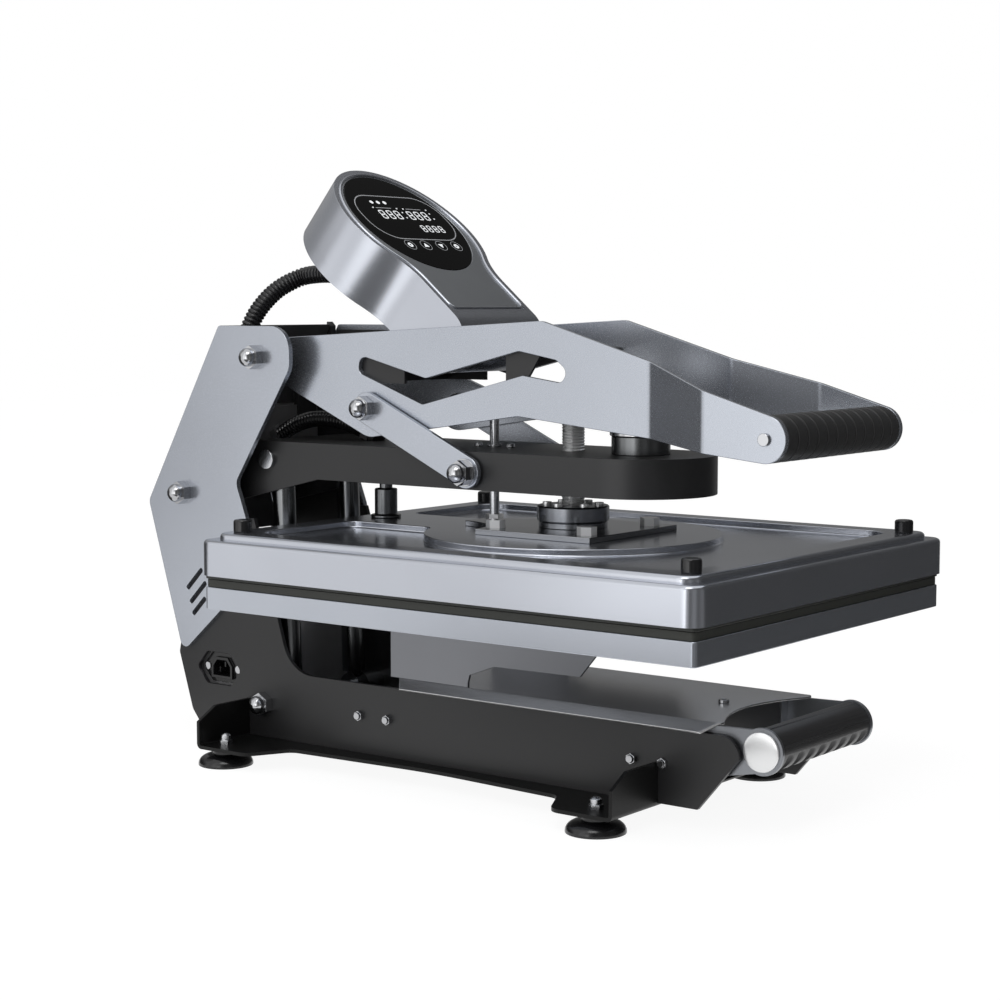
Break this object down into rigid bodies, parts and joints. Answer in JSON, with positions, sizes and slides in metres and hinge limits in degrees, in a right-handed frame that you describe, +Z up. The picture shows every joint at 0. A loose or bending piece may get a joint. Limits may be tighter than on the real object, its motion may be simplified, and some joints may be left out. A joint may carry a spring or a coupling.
{
  "type": "heat_press",
  "caption": "Clam-shell heat press with a magnet-held handle, a tilted round control head and a slide-out lower platen",
  "frame": {"origin": "centre of the bounding box's underside, on the table under the machine", "axes": "+Z up, -Y towards the operator and the grip, +X to the operator's right"},
  "size_m": [0.409, 0.7026, 0.5428],
  "materials": {
    "black_paint": "satin powder coat",
    "silver_paint": "satin silver paint",
    "silver_plastic": "metallic lacquer",
    "grey_plastic": "fine texture",
    "black_plastic": "fine texture",
    "red_plastic": "polished",
    "relay_plastic": "moulded",
    "board_green": "solder mask",
    "display_black": "black gloss",
    "rubber": "matt",
    "silicone": "smooth",
    "aluminium": "machined",
    "zinc": "zinc plated",
    "chrome": "polished",
    "dark_steel": "oiled",
    "black_steel": "black oxide"
  },
  "bodies": {
    "frame": {"base_pan": "black_paint", "side_plate_left": "black_paint", "side_plate_right": "black_paint", "cheek_left": "silver_paint", "cheek_right": "silver_paint", "rear_cover": "black_paint", "foot_pads": "rubber", "foot_studs": "zinc", "electronics_box": "black_paint", "relay": "relay_plastic", "wiring_box": "black_paint", "power_inlet": "black_plastic", "switch_bezel": "black_plastic", "cross_shafts": "zinc", "frame_fasteners": "chrome", "rails_outer": "zinc", "control_hose": "rubber", "heater_hose": "rubber"},
    "rocker": {"switch_rocker": "red_plastic"},
    "rail_carriage": {"rails_middle": "zinc"},
    "drawer": {"rails_inner": "zinc", "drawer_cover": "black_paint", "drawer_tray": "black_paint", "platen_support": "silver_paint", "lower_platen": "aluminium", "silicone_pad": "silicone", "drawer_brackets": "silver_paint", "drawer_grip": "rubber", "grip_caps": "silver_plastic", "drawer_screw": "zinc"},
    "struts": {"strut_tubes": "black_steel"},
    "strut_rods": {"strut_rods": "zinc"},
    "arm": {"beam": "black_paint", "beam_pins": "zinc", "electromagnet": "black_steel"},
    "platen": {"heat_platen": "aluminium", "platen_cover": "silver_paint", "pressure_plate": "dark_steel", "platen_bolts": "zinc", "bearing_collar": "dark_steel", "guide_rod": "zinc", "rear_guide_post": "black_steel", "corner_caps": "black_plastic"},
    "screw": {"pressure_screw": "zinc", "pressure_knob": "black_plastic"},
    "handle": {"handle_plate_left": "silver_paint", "handle_plate_right": "silver_paint", "handle_bridge": "black_plastic", "armature_bracket": "dark_steel", "armature_disc": "chrome", "grip_core": "zinc", "handle_grip": "rubber", "handle_bolts": "chrome", "head_shell": "silver_plastic", "head_back": "silver_plastic", "head_face": "grey_plastic", "display_glass": "display_black", "control_board": "board_green"},
    "links": {"link_arms": "silver_paint", "link_nuts": "chrome"}
  },
  "joints": [
    {"name": "arm_lift", "type": "hinge", "parent": "frame", "child": "arm", "pos_m": [0, 0.30435, 0.2423], "axis": [-1, 0, 0], "range_deg": [0, 26.7], "deforming": ["heater_hose"]},
    {"name": "handle_swing", "type": "hinge", "parent": "frame", "child": "handle", "pos_m": [0, 0.20875, 0.3715], "axis": [-1, 0, 0], "range_deg": [0, 75.01], "deforming": ["control_hose"]},
    {"name": "link_swing", "type": "hinge", "parent": "handle", "child": "links", "pos_m": [0, 0.08775, 0.328], "axis": [1, 0, 0], "range_deg": [0, 77.64]},
    {"name": "strut_tilt", "type": "hinge", "parent": "frame", "child": "struts", "pos_m": [0, 0.20575, 0.05], "axis": [-1, 0, 0], "range_deg": [0, 5.12]},
    {"name": "strut_extend", "type": "slide", "parent": "struts", "child": "strut_rods", "axis": [0, 0.0353, 0.9994], "range_m": [0, 0.03899]},
    {"name": "screw_turn", "type": "hinge", "parent": "platen", "child": "screw", "pos_m": [0, -0.08725, 0.3], "axis": [0, 0, 1], "range_deg": [0, 720.01]},
    {"name": "pressure_travel", "type": "slide", "parent": "arm", "child": "platen", "axis": [0, 0, 1], "range_m": [0, 0.008]},
    {"name": "drawer_slide", "type": "slide", "parent": "frame", "child": "drawer", "axis": [0, -1, 0], "range_m": [0, 0.35]},
    {"name": "rail_travel", "type": "slide", "parent": "frame", "child": "rail_carriage", "axis": [0, -1, 0], "range_m": [0, 0.17501]},
    {"name": "rocker_press", "type": "hinge", "parent": "frame", "child": "rocker", "pos_m": [0.077, 0.26525, 0.0765], "axis": [0, -1, 0], "range_deg": [0, 14]}
  ],
  "couplings": [
    {"joint": "handle_swing", "follows": "arm_lift", "ratio": 2.8094},
    {"joint": "link_swing", "follows": "arm_lift", "ratio": 2.9079},
    {"joint": "strut_tilt", "follows": "arm_lift", "ratio": 0.19174},
    {"joint": "strut_extend", "follows": "arm_lift", "m_per_rad": 0.083652},
    {"joint": "screw_turn", "follows": "pressure_travel", "rad_per_m": 1570.8},
    {"joint": "rail_travel", "follows": "drawer_slide", "ratio": 0.5}
  ]
}
